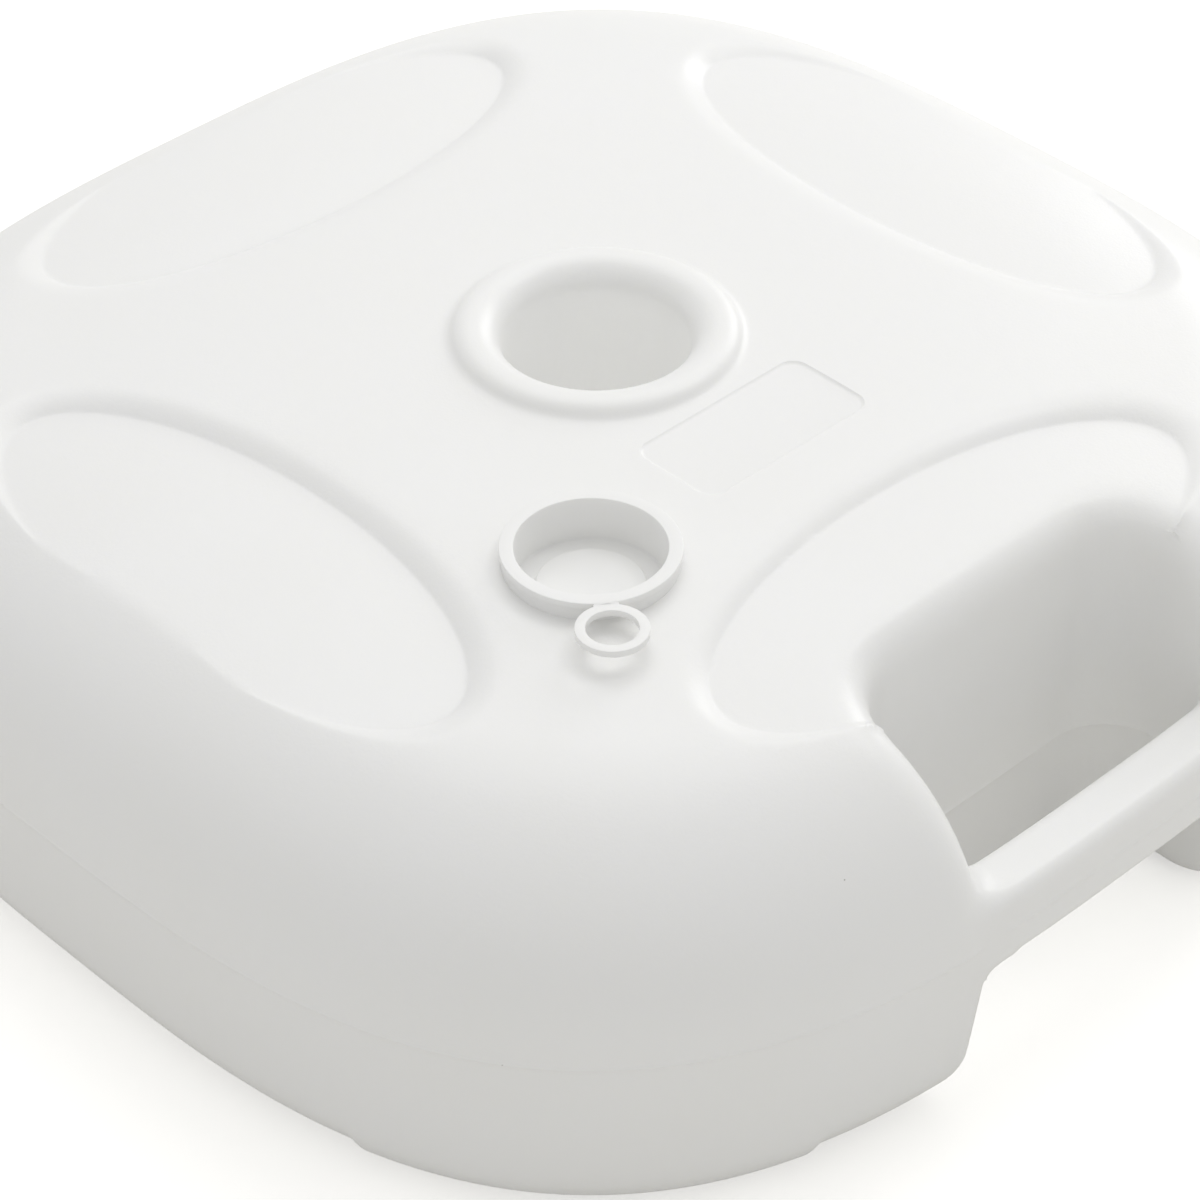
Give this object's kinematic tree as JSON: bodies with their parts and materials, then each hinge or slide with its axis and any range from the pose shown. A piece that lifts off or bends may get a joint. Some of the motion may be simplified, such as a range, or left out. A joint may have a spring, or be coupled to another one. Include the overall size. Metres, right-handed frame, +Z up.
{
  "type": "parasol base",
  "caption": "Square-rounded hollow parasol base, filled with water through a push-in plug with a pull ring, with a central pole bore and a moulded handle bar.",
  "frame": {"origin": "on the axis of the pole bore, at the level of the four corner feet", "axes": "+Z up along the pole bore; -Y towards the side with the handle notch and its bar; the filler plug stands in the corner between -X and -Y"},
  "size_m": [0.456, 0.455, 0.1455],
  "materials": {
    "tank": "white blow-moulded polyethylene, satin with a fine grain",
    "plug": "white injection-moulded polyethylene, satin",
    "ring": "white injection-moulded polyethylene, satin"
  },
  "bodies": {
    "tank": {"tank": "tank"},
    "plug": {"filler_plug": "plug"},
    "ring": {"pull_ring": "ring"}
  },
  "joints": [
    {"name": "plug_pull", "type": "slide", "parent": "tank", "child": "plug", "axis": [0, 0, 1], "range_m": [0, 0.045]},
    {"name": "ring_fold", "type": "hinge", "parent": "plug", "child": "ring", "pos_m": [-0.09626, -0.10296, 0.1455], "axis": [-0.8192, 0.5736, 0], "range_deg": [0, 100]}
  ]
}
